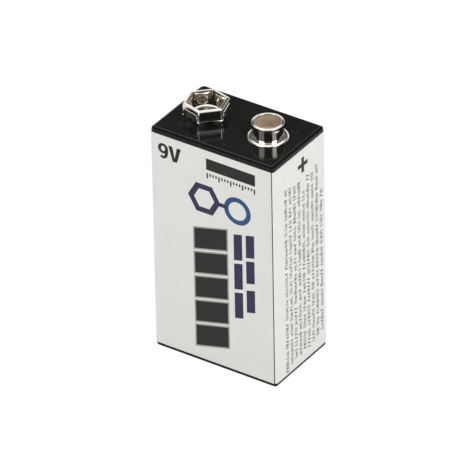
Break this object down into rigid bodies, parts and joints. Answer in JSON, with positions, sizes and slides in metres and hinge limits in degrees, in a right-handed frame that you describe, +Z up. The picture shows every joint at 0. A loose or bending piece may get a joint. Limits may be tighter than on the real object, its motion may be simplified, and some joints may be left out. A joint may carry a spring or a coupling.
{
  "type": "nine volt battery",
  "caption": "Rectangular nine volt block battery with a smooth positive stud and a hexagonal negative snap crown on a black top cover.",
  "frame": {"origin": "middle of the bottom face", "axes": "+X along the width towards the positive stud, +Y along the depth to the back, +Z up through the terminals"},
  "size_m": [0.0256, 0.0166, 0.0481],
  "materials": {
    "black_plastic": "glossy moulded",
    "label_film": "satin printed film",
    "nickel": "bright nickel plate",
    "rivet_metal": "dull plated",
    "tinned_strip": "satin",
    "cell_can": "satin",
    "fuse_polymer": "matt",
    "insulating_card": "matt",
    "foam": "matt foam"
  },
  "bodies": {
    "root": {"case": "black_plastic", "top_cover": "black_plastic", "label": "label_film", "positive_snap": "nickel", "negative_snap": "nickel", "positive_rivet": "rivet_metal", "negative_rivet": "rivet_metal", "positive_lug": "tinned_strip", "negative_lug": "tinned_strip", "positive_lead": "tinned_strip", "negative_lead": "tinned_strip", "ptc_fuse": "fuse_polymer", "series_strap_1": "tinned_strip", "series_strap_2": "tinned_strip", "cell_1": "cell_can", "cell_2": "cell_can", "cell_3": "cell_can", "divider_1": "insulating_card", "divider_2": "insulating_card", "top_insulator": "insulating_card", "bottom_pad": "foam"}
  },
  "joints": []
}
